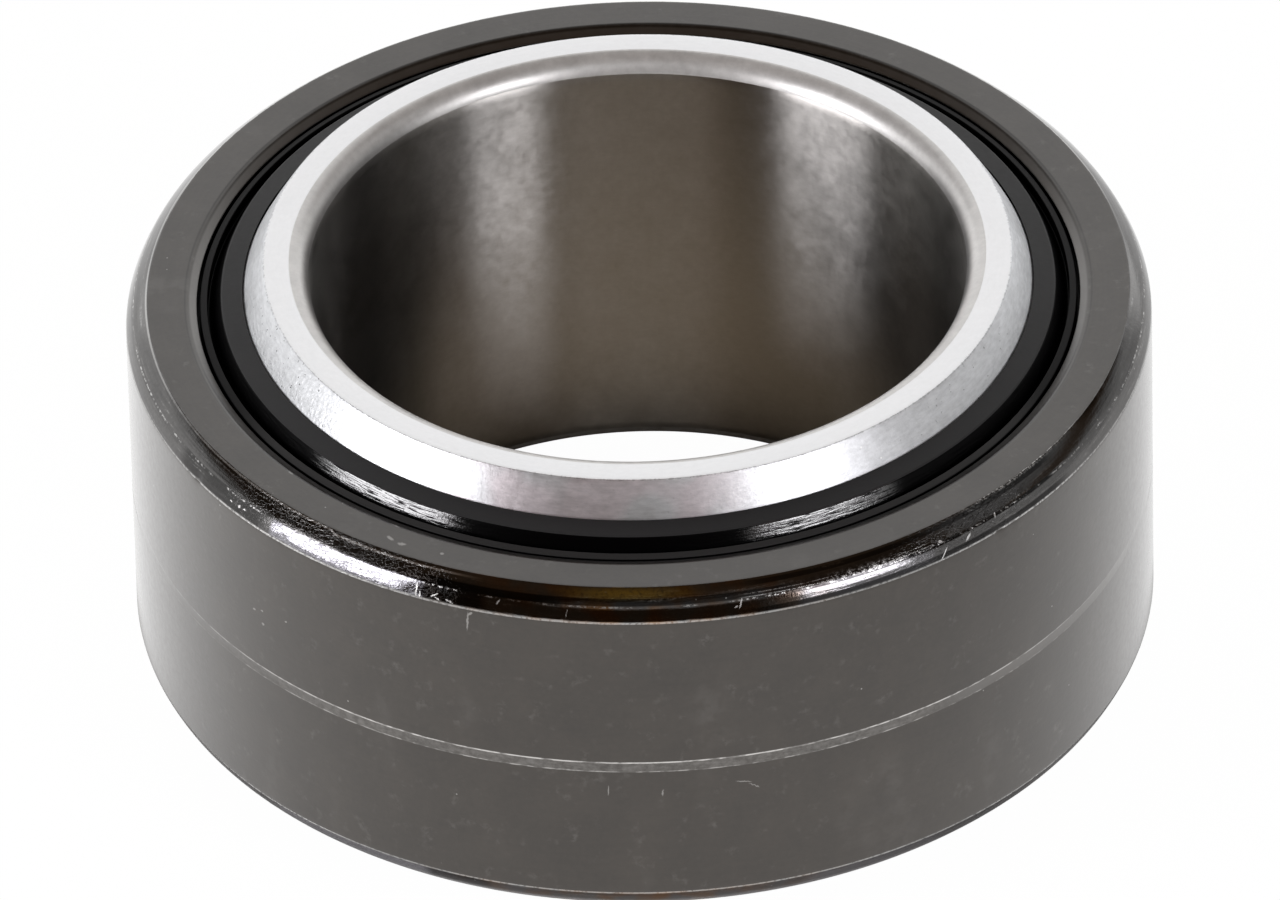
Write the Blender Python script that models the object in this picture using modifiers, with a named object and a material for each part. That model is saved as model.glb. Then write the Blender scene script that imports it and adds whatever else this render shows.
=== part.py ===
"""Spherical plain bearing with a sealed, lined outer ring, standing on its inner ring.

The centre of the ball surface is the origin and the bore runs along +Z. Each ring is turned from
a half section: a closed list of (radius, height) points that runs down the ring's outer side and
back up its inner side.
"""

import math

import bmesh
import bpy

# Inner ring
BORE_DIAMETER = 0.030
INNER_RING_WIDTH = 0.022
INNER_FACE_WALL = 0.0021208  # bore to the ball surface at the flat face: makes a 40.7 mm ball
BORE_EDGE_RADIAL = 0.0006
BORE_EDGE_AXIAL = 0.0009

# Outer ring
OUTER_RING_WIDTH = 0.018
OUTER_RING_WALL = 0.00254  # steel behind the raceway: makes a 47 mm outside diameter
OUTER_CHAMFER_RADIAL = 0.0010
OUTER_CHAMFER_AXIAL = 0.00131
CHAMFER_BREAK_RADIAL = 0.00067  # where the two steps of the outer chamfer meet
CHAMFER_BREAK_AXIAL = 0.00064
LAND_INSET = 0.00069  # how far the bore beside a seal lies inside the raceway's radius
LAND_DEPTH = 0.0011  # face of the ring to the seal groove
LAND_CHAMFER_RADIAL = 0.00038
LAND_CHAMFER_AXIAL = 0.0004
SEAL_GROOVE_WIDTH = 0.0017
SEAL_GROOVE_DEPTH = 0.00085
LINE_WIDTH = 0.0005  # fine line turned round the outside
LINE_DEPTH = 0.00005
LINE_HEIGHT = -0.00047
SPLIT_WIDTH = 0.00006  # closed split that lets the inner ring in
SPLIT_AZIMUTH = math.radians(244.69)

# Sliding layer
LINER_THICKNESS = 0.0005
LINER_INSET = 0.0003  # liner's end to the seal groove
RUNNING_CLEARANCE = 0.00006  # ball to liner and to seal lip
SEAT_GAP = 0.00005  # liner to raceway, seal to groove

# Seals
SEAL_RIM_GAP = 0.00027  # seal rim to the ring's land
SEAL_RIM_WIDTH = 0.00016
SEAL_RIM_DROP = 0.00015  # rim below the outer ring's face
SEAL_TROUGH_WIDTH = 0.00070
SEAL_TROUGH_DEPTH = 0.00070  # trough bottom below the outer ring's face
SEAL_LIP_RISE = 0.00047  # lip's tip above the outer ring's face
SEAL_LIP_FALL = 0.00023  # drop of the lip's top from its tip to its outer edge
SEAL_LIP_FLARE = 0.00031  # how far the lip's outer wall spreads towards the trough
SEAL_EDGE = 0.00006  # rounding of the rim and of the lip
SEAL_RELIEF = 0.00025  # hollow between the two lips

# Meshing
SEGMENTS = 64
ARC_STEP = math.radians(5.6)
MERGE_DISTANCE = 1e-6
SHARP_ANGLE = math.radians(20)

# Worked out from the sizes above
BORE_RADIUS = BORE_DIAMETER / 2
INNER_HALF = INNER_RING_WIDTH / 2
OUTER_HALF = OUTER_RING_WIDTH / 2
FACE_RADIUS = BORE_RADIUS + INNER_FACE_WALL
BALL_RADIUS = math.hypot(FACE_RADIUS, INNER_HALF)
LINER_BORE_RADIUS = BALL_RADIUS + RUNNING_CLEARANCE
LINER_BACK_RADIUS = LINER_BORE_RADIUS + LINER_THICKNESS
RACEWAY_RADIUS = LINER_BACK_RADIUS + SEAT_GAP
OUTER_RADIUS = RACEWAY_RADIUS + OUTER_RING_WALL
LAND_RADIUS = RACEWAY_RADIUS - LAND_INSET
GROOVE_RADIUS = LAND_RADIUS + SEAL_GROOVE_DEPTH
GROOVE_TOP = OUTER_HALF - LAND_DEPTH
GROOVE_BOTTOM = GROOVE_TOP - SEAL_GROOVE_WIDTH


def ball_radius_at(height, offset):
    """Radius, at a height, of a ball surface that lies `offset` outside the inner ring's."""
    return math.sqrt((BALL_RADIUS + offset) ** 2 - height**2)


def arc(radius, start, end):
    """Points of a ball surface's section, from the height `start` to the height `end`."""
    first = math.asin(start / radius)
    sweep = math.asin(end / radius) - first
    count = max(2, math.ceil(abs(sweep) / ARC_STEP))
    angles = [first + sweep * i / count for i in range(count + 1)]
    return [(radius * math.cos(angle), radius * math.sin(angle)) for angle in angles]


def mirrored(points):
    """The points' mirror image below the middle plane, in the order that goes on round."""
    return [(radius, -height) for radius, height in reversed(points)]


def inner_ring_section():
    """Ball surface outside, flat faces, and a straight bore with rounded edges."""
    radial = min(BORE_EDGE_RADIAL, INNER_FACE_WALL / 2)
    axial = min(BORE_EDGE_AXIAL, INNER_HALF / 2)
    turns = [math.radians(degrees) for degrees in (90, 60, 30, 0)]
    upper_edge = [
        (
            BORE_RADIUS + radial * (1 - math.cos(turn)),
            INNER_HALF - axial * (1 - math.sin(turn)),
        )
        for turn in reversed(turns)
    ]
    return arc(BALL_RADIUS, INNER_HALF, -INNER_HALF) + mirrored(upper_edge) + upper_edge


def outer_ring_section():
    """Chamfered outside with its fine line, seal grooves and a spherical raceway."""
    upper_outside = [
        (OUTER_RADIUS - OUTER_CHAMFER_RADIAL, OUTER_HALF),
        (
            OUTER_RADIUS - OUTER_CHAMFER_RADIAL + CHAMFER_BREAK_RADIAL,
            OUTER_HALF - CHAMFER_BREAK_AXIAL,
        ),
        (OUTER_RADIUS, OUTER_HALF - OUTER_CHAMFER_AXIAL),
    ]
    line_top = LINE_HEIGHT + LINE_WIDTH / 2
    line_bottom = LINE_HEIGHT - LINE_WIDTH / 2
    line = [
        (OUTER_RADIUS, line_top),
        (OUTER_RADIUS - LINE_DEPTH, line_top - LINE_DEPTH),
        (OUTER_RADIUS - LINE_DEPTH, line_bottom + LINE_DEPTH),
        (OUTER_RADIUS, line_bottom),
    ]
    upper_inside = [
        (GROOVE_RADIUS, GROOVE_BOTTOM),
        (GROOVE_RADIUS, GROOVE_TOP),
        (LAND_RADIUS, GROOVE_TOP),
        (LAND_RADIUS, OUTER_HALF - LAND_CHAMFER_AXIAL),
        (LAND_RADIUS + LAND_CHAMFER_RADIAL, OUTER_HALF),
    ]
    raceway = arc(RACEWAY_RADIUS, -GROOVE_BOTTOM, GROOVE_BOTTOM)
    outside = upper_outside + line + mirrored(upper_outside)
    return outside + mirrored(upper_inside) + raceway + upper_inside


def liner_section():
    """An even layer between the ball surface and the raceway."""
    half = GROOVE_BOTTOM - LINER_INSET
    return arc(LINER_BACK_RADIUS, half, -half) + arc(LINER_BORE_RADIUS, -half, half)


def seal_section():
    """Upper seal: a bead in the groove, a rim, a trough, and two lips on the ball surface."""
    bead_radius = GROOVE_RADIUS - SEAT_GAP
    bead_top = GROOVE_TOP - SEAT_GAP
    bead_bottom = GROOVE_BOTTOM + SEAT_GAP
    rim_outside = LAND_RADIUS - SEAL_RIM_GAP
    rim_inside = rim_outside - SEAL_RIM_WIDTH
    rim_top = OUTER_HALF - SEAL_RIM_DROP
    trough = OUTER_HALF - SEAL_TROUGH_DEPTH
    lip_outside = rim_inside - SEAL_TROUGH_WIDTH
    tip_top = OUTER_HALF + SEAL_LIP_RISE
    tip_bottom = tip_top - SEAL_EDGE
    lip_edge = tip_top - SEAL_LIP_FALL
    second_tip = bead_bottom + SEAL_GROOVE_WIDTH / 4
    touching = RUNNING_CLEARANCE + SEAL_EDGE / 4
    hollow = RUNNING_CLEARANCE + SEAL_RELIEF
    return [
        (rim_outside, rim_top - SEAL_EDGE),
        (rim_outside, bead_top),
        (bead_radius, bead_top),
        (bead_radius, bead_bottom),
        (ball_radius_at(bead_bottom, hollow), bead_bottom),
        (ball_radius_at(second_tip, touching), second_tip),
        (ball_radius_at(bead_top, hollow), bead_top),
        (ball_radius_at(trough, hollow), trough),
        (ball_radius_at(tip_bottom, touching), tip_bottom),
        (ball_radius_at(tip_top, touching), tip_top),
        (lip_outside - SEAL_EDGE, lip_edge),
        (lip_outside, lip_edge - SEAL_EDGE),
        (lip_outside + SEAL_LIP_FLARE, trough + SEAL_EDGE),
        (lip_outside + SEAL_LIP_FLARE + SEAL_EDGE, trough),
        (rim_inside, trough),
        (rim_inside, rim_top - SEAL_EDGE),
        (rim_inside + SEAL_EDGE, rim_top),
        (rim_outside - SEAL_EDGE, rim_top),
    ]


def material(name, colour, roughness, metallic):
    """A plain surface of one colour."""
    finish = bpy.data.materials.new(name)
    finish.use_nodes = True
    shader = finish.node_tree.nodes["Principled BSDF"]
    shader.inputs["Base Color"].default_value = (*colour, 1.0)
    shader.inputs["Roughness"].default_value = roughness
    shader.inputs["Metallic"].default_value = metallic
    finish.diffuse_color = (*colour, 1.0)
    return finish


def collection(name):
    """A new collection under the scene's own."""
    group = bpy.data.collections.new(name)
    bpy.context.scene.collection.children.link(group)
    return group


def turned(name, section, finish, group):
    """Sweep a half section round the bore axis into one ring."""
    mesh = bpy.data.meshes.new(name)
    points = [(radius, 0.0, height) for radius, height in section]
    edges = [(i, (i + 1) % len(points)) for i in range(len(points))]
    mesh.from_pydata(points, edges, [])
    mesh.materials.append(finish)
    ring = bpy.data.objects.new(name, mesh)
    group.objects.link(ring)
    sweep = ring.modifiers.new("Turned", "SCREW")
    sweep.axis = "Z"
    sweep.angle = math.tau
    sweep.steps = SEGMENTS
    sweep.render_steps = SEGMENTS
    sweep.use_merge_vertices = True
    sweep.merge_threshold = MERGE_DISTANCE
    return ring


def split_cutter(group):
    """A thin blade through one side of the outer ring, from inside the raceway outwards."""
    inside = ball_radius_at(GROOVE_BOTTOM, 0.0)
    outside = OUTER_RADIUS + OUTER_RING_WALL
    mesh = bpy.data.meshes.new("split_cutter")
    blade = bmesh.new()
    bmesh.ops.create_cube(blade, size=1.0)
    bmesh.ops.scale(
        blade, vec=(outside - inside, SPLIT_WIDTH, 2 * OUTER_RING_WIDTH), verts=blade.verts
    )
    blade.to_mesh(mesh)
    blade.free()
    cutter = bpy.data.objects.new("split_cutter", mesh)
    middle = (inside + outside) / 2
    cutter.location = (
        middle * math.cos(SPLIT_AZIMUTH),
        middle * math.sin(SPLIT_AZIMUTH),
        0.0,
    )
    cutter.rotation_euler.z = SPLIT_AZIMUTH
    cutter.hide_render = True
    cutter.display_type = "WIRE"
    group.objects.link(cutter)
    return cutter


def cut(piece, cutter):
    """Take the cutter out of the piece."""
    boolean = piece.modifiers.new("Split", "BOOLEAN")
    boolean.operation = "DIFFERENCE"
    boolean.solver = "EXACT"
    boolean.object = cutter


def finish_edges(piece):
    """Bake the piece's modifiers into its mesh and shade it smooth between its turned edges."""
    graph = bpy.context.evaluated_depsgraph_get()
    mesh = bpy.data.meshes.new_from_object(piece.evaluated_get(graph))
    piece.modifiers.clear()
    piece.data = mesh
    mesh.shade_smooth()
    mesh.set_sharp_from_angle(angle=SHARP_ANGLE)


def main():
    """Build the bearing in an empty scene."""
    for old in list(bpy.data.objects):
        bpy.data.objects.remove(old, do_unlink=True)
    bearing = collection("spherical_plain_bearing")
    cutters = collection("cutters")
    dark_steel = material("dark_steel", (0.105, 0.097, 0.089), 0.42, 0.85)
    ground_steel = material("ground_steel", (0.74, 0.74, 0.76), 0.22, 1.0)
    black_rubber = material("black_rubber", (0.030, 0.030, 0.032), 0.50, 0.0)
    sliding_layer = material("sliding_layer", (0.055, 0.040, 0.020), 0.60, 0.0)

    outer_ring = turned("outer_ring", outer_ring_section(), dark_steel, bearing)
    cut(outer_ring, split_cutter(cutters))
    pieces = [
        outer_ring,
        turned("inner_ring", inner_ring_section(), ground_steel, bearing),
        turned("sliding_liner", liner_section(), sliding_layer, bearing),
        turned("upper_seal", seal_section(), black_rubber, bearing),
        turned("lower_seal", mirrored(seal_section()), black_rubber, bearing),
    ]
    bpy.context.view_layer.update()
    for piece in pieces:
        finish_edges(piece)


main()
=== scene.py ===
"""A sealed spherical plain bearing: turned rings, moulded seals, worn finishes, studio and camera.

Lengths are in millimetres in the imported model's frame, with the ball's centre at the origin and the bore
along +Z. A piece is brought to metres once it is shaped. A place round the bearing is its turn, which is
in degrees from the camera's side (-Y) and grows towards +X.
"""

import logging
import math
from collections.abc import Callable, Iterable, Sequence
from dataclasses import dataclass, field
from enum import Enum
from typing import Any

import bmesh
import bpy
from mathutils import Matrix, Vector


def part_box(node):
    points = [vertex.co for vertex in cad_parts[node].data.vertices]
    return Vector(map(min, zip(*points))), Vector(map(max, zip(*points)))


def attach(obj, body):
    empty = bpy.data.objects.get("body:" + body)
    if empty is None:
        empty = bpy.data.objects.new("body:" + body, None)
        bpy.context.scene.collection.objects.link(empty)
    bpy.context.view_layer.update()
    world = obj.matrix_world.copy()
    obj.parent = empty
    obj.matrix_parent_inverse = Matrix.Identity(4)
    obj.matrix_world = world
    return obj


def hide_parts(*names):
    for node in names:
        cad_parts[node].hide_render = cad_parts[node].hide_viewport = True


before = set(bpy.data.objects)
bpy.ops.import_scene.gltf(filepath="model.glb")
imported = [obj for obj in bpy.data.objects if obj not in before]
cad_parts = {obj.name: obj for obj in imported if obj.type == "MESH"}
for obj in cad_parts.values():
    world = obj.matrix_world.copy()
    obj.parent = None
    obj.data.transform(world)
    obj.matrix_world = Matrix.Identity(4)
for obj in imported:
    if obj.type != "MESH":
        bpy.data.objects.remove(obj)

LOG = logging.getLogger("bearing")
METRES_PER_MM = 0.001
WELD_DISTANCE = 1e-5
SHARP_ANGLE = 40.0
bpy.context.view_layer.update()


class Side(Enum):
    """Which end of the bore a seal closes."""

    UPPER = 1
    LOWER = -1


class Grain(Enum):
    """How a tool's marks lie on a turned surface."""

    ROUND_FACE = "circles on a flat face"
    ROUND_WALL = "circles round a wall"


# Half sections and the lathe that turns them


@dataclass(frozen=True)
class Corner:
    """A corner of a half section, reached by a straight run.

    Attributes:
        radius: Distance from the bore's axis.
        height: Height above the middle plane.
        rounding: How much of each side the rounding takes off.
        facets: Number of edges round the rounding.
    """

    radius: float
    height: float
    rounding: float = 0.0
    facets: int = 3


@dataclass(frozen=True)
class Sweep:
    """An arc about the ball's centre that ends at a height.

    Attributes:
        height: Height where the arc ends.
        steps: Number of edges along it.
        rounding: How much of each side the rounding at its end takes off.
        facets: Number of edges round that rounding.
    """

    height: float
    steps: int
    rounding: float = 0.0
    facets: int = 2


Outline = Sequence[Corner | Sweep]


def crowned(
    start: tuple[float, float], end: tuple[float, float], crown: float, steps: int
) -> list[Corner]:
    """Points between two ends of a slightly bulging facet.

    Args:
        start: Radius and height where the facet begins.
        end: Radius and height where it ends.
        crown: How far its middle stands proud of a straight line.
        steps: Number of edges along it.

    Returns:
        The points between the ends, without them.
    """
    along = Vector(end) - Vector(start)
    outward = Vector((-along.y, along.x)).normalized()
    points = []
    for step in range(1, steps):
        share = step / steps
        point = Vector(start) + along * share + outward * crown * 4 * share * (1 - share)
        points.append(Corner(point.x, point.y))
    return points


def mirrored(outline: Outline) -> list[Corner | Sweep]:
    """The outline's mirror image below the middle plane, in the order that goes on round the section."""
    return [
        Corner(part.radius, -part.height, part.rounding, part.facets)
        for part in reversed(outline)
        if isinstance(part, Corner)
    ]


class Lathe:
    """Draws a ring's half section with edit-mode operators and turns it round the bore."""

    def __init__(self, name: str, steps: int) -> None:
        """Takes what the lathe is to turn.

        Args:
            name: Name of the piece.
            steps: Number of facets round a full turn.
        """
        self.name = name
        self.steps = steps

    def turn(
        self, outline: Outline, split: float | None = None, opening: float = 0.0
    ) -> bpy.types.Object:
        """Turns the outline into a ring.

        Args:
            outline: The half section, a closed loop that starts with a corner.
            split: Where the ring is parted, in degrees from the camera's side, or None for a whole ring.
            opening: Width of the split, in radians.

        Returns:
            The ring, still in millimetres.
        """
        self._start(outline[0])
        self._round(corner for corner in self._trace(outline) if corner.rounding)
        bpy.ops.mesh.select_all(action="SELECT")
        if split is not None:
            bpy.ops.mesh.edge_face_add()
        bpy.ops.mesh.spin(steps=self.steps, angle=math.tau - opening, center=(0, 0, 0), axis=(0, 0, 1))
        bpy.ops.mesh.select_all(action="SELECT")
        bpy.ops.mesh.remove_doubles(threshold=WELD_DISTANCE)
        bpy.ops.mesh.normals_make_consistent(inside=False)
        bpy.ops.object.mode_set(mode="OBJECT")
        ring = bpy.context.object
        if split is not None:
            ring.rotation_euler.z = math.radians(split - 90) - opening / 2
            bpy.ops.object.transform_apply(location=True, rotation=True, scale=True)
        return ring

    def _start(self, corner: Corner) -> None:
        """Leaves one selected vertex at the first corner, in edit mode."""
        bpy.ops.object.select_all(action="DESELECT")
        bpy.ops.mesh.primitive_plane_add(size=0.1, location=(corner.radius, 0, corner.height))
        bpy.ops.object.transform_apply(location=True)
        bpy.context.object.name = self.name
        bpy.context.object.data.name = self.name
        bpy.ops.object.mode_set(mode="EDIT")
        bpy.ops.mesh.select_mode(type="VERT")
        bpy.ops.mesh.merge(type="CENTER")

    def _trace(self, outline: Outline) -> list[Corner]:
        """Extrudes the vertex along the outline, closes the loop and hands back its corners."""
        corners = [outline[0]]
        for part in outline[1:]:
            at = corners[-1]
            if isinstance(part, Sweep):
                ball = math.hypot(at.radius, at.height)
                angle = math.asin(part.height / ball) - math.asin(at.height / ball)
                bpy.ops.mesh.spin(steps=part.steps, angle=angle, center=(0, 0, 0), axis=(0, 1, 0))
                radius = math.sqrt(ball**2 - part.height**2)
                corners.append(Corner(radius, part.height, part.rounding, part.facets))
            else:
                step = (part.radius - at.radius, 0.0, part.height - at.height)
                bpy.ops.mesh.extrude_region_move(TRANSFORM_OT_translate={"value": step})
                corners.append(part)
        self._select([corners[-1], corners[0]])
        bpy.ops.mesh.edge_face_add()
        return corners

    def _round(self, corners: Iterable[Corner]) -> None:
        """Bevels the section's corners one after another."""
        for corner in corners:
            self._select([corner])
            bpy.ops.mesh.bevel(
                offset=corner.rounding, segments=corner.facets, affect="VERTICES", profile=0.5
            )

    def _select(self, corners: Iterable[Corner]) -> None:
        """Selects the vertex nearest to each corner."""
        bpy.ops.mesh.select_all(action="DESELECT")
        mesh = bpy.context.object.data
        drawing = bmesh.from_edit_mesh(mesh)
        for corner in corners:
            place = Vector((corner.radius, 0.0, corner.height))
            nearest = min(drawing.verts, key=lambda vertex: (vertex.co - place).length)
            nearest.select_set(True)
        bmesh.update_edit_mesh(mesh)


@dataclass(frozen=True)
class Nick:
    """A knock that has pushed an edge in.

    Attributes:
        turn: Place round the bearing, in degrees.
        radius: Distance of the knocked edge from the axis.
        height: Its height.
        depth: How far the edge is pushed in.
        reach: How far round the knock the metal has moved.
    """

    turn: float
    radius: float
    height: float
    depth: float
    reach: float


def place_at(turn: float, radius: float, height: float) -> Vector:
    """The point at a turn, a radius and a height."""
    angle = math.radians(turn)
    return Vector((radius * math.sin(angle), -radius * math.cos(angle), height))


def knock(ring: bpy.types.Object, nicks: Iterable[Nick]) -> None:
    """Pushes nicks into a ring's edges, towards the middle of its section.

    Args:
        ring: The ring, in millimetres.
        nicks: The knocks to press in.
    """
    bpy.context.view_layer.objects.active = ring
    bpy.ops.object.mode_set(mode="EDIT")
    for nick in nicks:
        bpy.ops.mesh.select_all(action="DESELECT")
        drawing = bmesh.from_edit_mesh(ring.data)
        place = place_at(nick.turn, nick.radius, nick.height)
        nearest = min(drawing.verts, key=lambda vertex: (vertex.co - place).length_squared)
        nearest.select_set(True)
        bmesh.update_edit_mesh(ring.data)
        inward = (place_at(nick.turn, nick.radius - 1.0, nick.height * 0.9) - place).normalized()
        bpy.ops.transform.translate(
            value=inward * nick.depth,
            use_proportional_edit=True,
            proportional_edit_falloff="SHARP",
            proportional_size=nick.reach,
        )
    bpy.ops.object.mode_set(mode="OBJECT")


def roughen(
    ring: bpy.types.Object, edges: Iterable[Corner], reach: float, depth: float, grain: float
) -> None:
    """Wears edges unevenly, by moving their vertices a little along their normals.

    Args:
        ring: The ring, in millimetres.
        edges: Corners of its section that are worn.
        reach: How far from an edge the wear goes.
        depth: How far the deepest wear goes.
        grain: Size of the unevenness.
    """
    group = ring.vertex_groups.new(name="worn_edges")
    corners = [(edge.radius, edge.height) for edge in edges]
    for vertex in ring.data.vertices:
        radius = math.hypot(vertex.co.x, vertex.co.y)
        gap = min(math.hypot(radius - edge[0], vertex.co.z - edge[1]) for edge in corners)
        if gap < reach:
            group.add([vertex.index], 1 - gap / reach, "REPLACE")
    pattern = bpy.data.textures.new(ring.name + "_wear", "CLOUDS")
    pattern.noise_scale = grain
    pattern.noise_depth = 3
    wear = ring.modifiers.new("Wear", "DISPLACE")
    wear.texture = pattern
    wear.texture_coords = "LOCAL"
    wear.vertex_group = group.name
    wear.mid_level = 1.0
    wear.strength = depth
    apply_modifiers(ring)
    ring.vertex_groups.clear()


def apply_modifiers(piece: bpy.types.Object) -> None:
    """Applies every modifier of a piece."""
    bpy.ops.object.select_all(action="DESELECT")
    piece.select_set(True)
    bpy.context.view_layer.objects.active = piece
    for modifier in list(piece.modifiers):
        bpy.ops.object.modifier_apply(modifier=modifier.name)


def finish_shape(piece: bpy.types.Object) -> None:
    """Smooths a piece's shading, keeps its broad faces flat and brings it to metres."""
    bpy.ops.object.select_all(action="DESELECT")
    piece.select_set(True)
    bpy.context.view_layer.objects.active = piece
    bpy.ops.object.shade_smooth_by_angle(angle=math.radians(SHARP_ANGLE))
    weighted = piece.modifiers.new("Flat faces", "WEIGHTED_NORMAL")
    weighted.keep_sharp = True
    apply_modifiers(piece)
    piece.scale = (METRES_PER_MM,) * 3
    bpy.ops.object.transform_apply(location=True, rotation=True, scale=True)


def assign(piece: bpy.types.Object, finish_at: Callable[[float, float], int]) -> None:
    """Gives each face of a finished piece its material.

    Args:
        piece: The piece, in metres.
        finish_at: Number of the material for a radius and a distance from the middle plane,
            both in millimetres.
    """
    for polygon in piece.data.polygons:
        centre = polygon.center / METRES_PER_MM
        polygon.material_index = finish_at(math.hypot(centre.x, centre.y), abs(centre.z))


# Shader expressions


class Signal:
    """What leaves a node's socket. Python's operators on it add Math nodes."""

    def __init__(self, graph: "Graph", socket: bpy.types.NodeSocket) -> None:
        """Wraps a socket.

        Args:
            graph: The node tree's own Graph.
            socket: An output socket in it.
        """
        self.graph = graph
        self.socket = socket

    def sibling(self, output: str) -> "Signal":
        """Another output of the same node."""
        return Signal(self.graph, self.socket.node.outputs[output])

    def _math(self, operation: str, *values: Any) -> "Signal":
        """A Math node on these values."""
        return self.graph.add("ShaderNodeMath", {"operation": operation}, dict(enumerate(values)))

    def __add__(self, other: Any) -> "Signal":
        """self + other."""
        return self._math("ADD", self, other)

    __radd__ = __add__

    def __sub__(self, other: Any) -> "Signal":
        """self - other."""
        return self._math("SUBTRACT", self, other)

    def __rsub__(self, other: Any) -> "Signal":
        """other - self."""
        return self._math("SUBTRACT", other, self)

    def __mul__(self, other: Any) -> "Signal":
        """self * other."""
        return self._math("MULTIPLY", self, other)

    __rmul__ = __mul__

    def __pow__(self, other: Any) -> "Signal":
        """self ** other."""
        return self._math("POWER", self, other)

    def __abs__(self) -> "Signal":
        """abs(self)."""
        return self._math("ABSOLUTE", self)

    def __or__(self, other: Any) -> "Signal":
        """The larger of two masks."""
        return self._math("MAXIMUM", self, other)

    def rise(self, low: float, high: float) -> "Signal":
        """0 below low, 1 above high, and smooth between."""
        return self.ranged(low, high, 0.0, 1.0)

    def fall(self, low: float, high: float) -> "Signal":
        """1 below low, 0 above high, and smooth between."""
        return self.ranged(low, high, 1.0, 0.0)

    def ranged(self, low: float, high: float, start: float, end: float) -> "Signal":
        """Moves smoothly from start to end while the value goes from low to high."""
        return self.graph.add(
            "ShaderNodeMapRange",
            {"interpolation_type": "SMOOTHSTEP"},
            {0: self, 1: low, 2: high, 3: start, 4: end},
        )

    def near(self, value: float, reach: float) -> "Signal":
        """1 at a value, falling to 0 at reach from it."""
        return abs(self - value).fall(0.0, reach)

    def within(self, low: float, high: float, soft: float) -> "Signal":
        """1 between two values, falling to 0 over a soft border outside them."""
        middle, half = (low + high) / 2, (high - low) / 2
        return abs(self - middle).fall(half, half + soft)


Colour = tuple[float, float, float]
WHITE: Colour = (1.0, 1.0, 1.0)


class Graph:
    """A node tree with one method that adds any node, and a few expressions made of it."""

    def __init__(self, tree: bpy.types.NodeTree) -> None:
        """Takes a node tree and empties it.

        Args:
            tree: The material's or the world's node tree.
        """
        self.tree = tree
        tree.nodes.clear()

    def add(
        self,
        kind: str,
        settings: dict[str, Any] | None = None,
        inputs: dict[int | str, Any] | None = None,
        output: int | str = 0,
    ) -> Signal:
        """Adds a node.

        Args:
            kind: The node's type.
            settings: Its own settings, set before its sockets.
            inputs: Values or signals for its sockets, by name or number.
            output: The socket that is handed on.

        Returns:
            The signal of that socket.
        """
        node = self.tree.nodes.new(kind)
        for name, value in (settings or {}).items():
            setattr(node, name, value)
        for key, value in (inputs or {}).items():
            self.plug(node.inputs[key], value)
        return Signal(self, node.outputs[output] if node.outputs else None)

    def plug(self, socket: bpy.types.NodeSocket, value: Any) -> None:
        """Links a signal to a socket, or sets a plain value on it."""
        if isinstance(value, Signal):
            self.tree.links.new(value.socket, socket)
        elif isinstance(value, tuple) and len(value) == 3 and socket.type == "RGBA":
            socket.default_value = (*value, 1.0)
        else:
            socket.default_value = value

    def mix(self, share: Any, first: Any, second: Any) -> Signal:
        """A colour between two colours."""
        return self.add("ShaderNodeMix", {"data_type": "RGBA"}, {0: share, 6: first, 7: second}, 2)

    def shaded(self, colour: Any, factor: Signal) -> Signal:
        """A colour made darker or lighter by a factor."""
        grey = self.vector(factor, factor, factor)
        return self.vector_math("MULTIPLY", colour, grey)

    def noise(self, vector: Signal, scale: float, detail: float = 2.0, roughness: float = 0.5) -> Signal:
        """Noise from 0 to 1, with features about 1 / scale across."""
        return self.add(
            "ShaderNodeTexNoise",
            {"noise_dimensions": "3D"},
            {"Vector": vector, "Scale": scale, "Detail": detail, "Roughness": roughness},
        )

    def vector(self, x: Any, y: Any, z: Any) -> Signal:
        """A vector of three values."""
        return self.add("ShaderNodeCombineXYZ", None, {0: x, 1: y, 2: z})

    def vector_math(self, operation: str, *values: Any, output: int | str = 0) -> Signal:
        """A Vector Math node on these values."""
        inputs = dict(enumerate(values))
        return self.add("ShaderNodeVectorMath", {"operation": operation}, inputs, output)

    def scaled(self, vector: Signal, factor: float) -> Signal:
        """A vector times a number."""
        return self.add("ShaderNodeVectorMath", {"operation": "SCALE"}, {0: vector, "Scale": factor})

    def plus(self, first: Signal, second: Any) -> Signal:
        """The sum of two vectors."""
        return self.vector_math("ADD", first, second)

    def specks(self, vector: Signal, spacing: float, size: float, share: float) -> Signal:
        """Scattered small round specks.

        Args:
            vector: Place, in millimetres.
            spacing: Usual distance between the places where a speck may be.
            size: A speck's radius.
            share: Share of those places that hold one.

        Returns:
            1 on a speck and 0 off it.
        """
        cells = self.add(
            "ShaderNodeTexVoronoi", None, {"Vector": vector, "Scale": 1 / spacing, "Randomness": 1.0}
        )
        lot = self.add("ShaderNodeSeparateColor", None, {0: cells.sibling("Color")})
        chosen = lot.fall(share, share + 0.01)
        return cells.fall(size / spacing * 0.5, size / spacing) * chosen

    def bump(self, height: Signal) -> Signal:
        """A normal from a height in millimetres."""
        return self.add(
            "ShaderNodeBump", None, {"Height": height, "Strength": 1.0, "Distance": METRES_PER_MM}
        )


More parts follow.
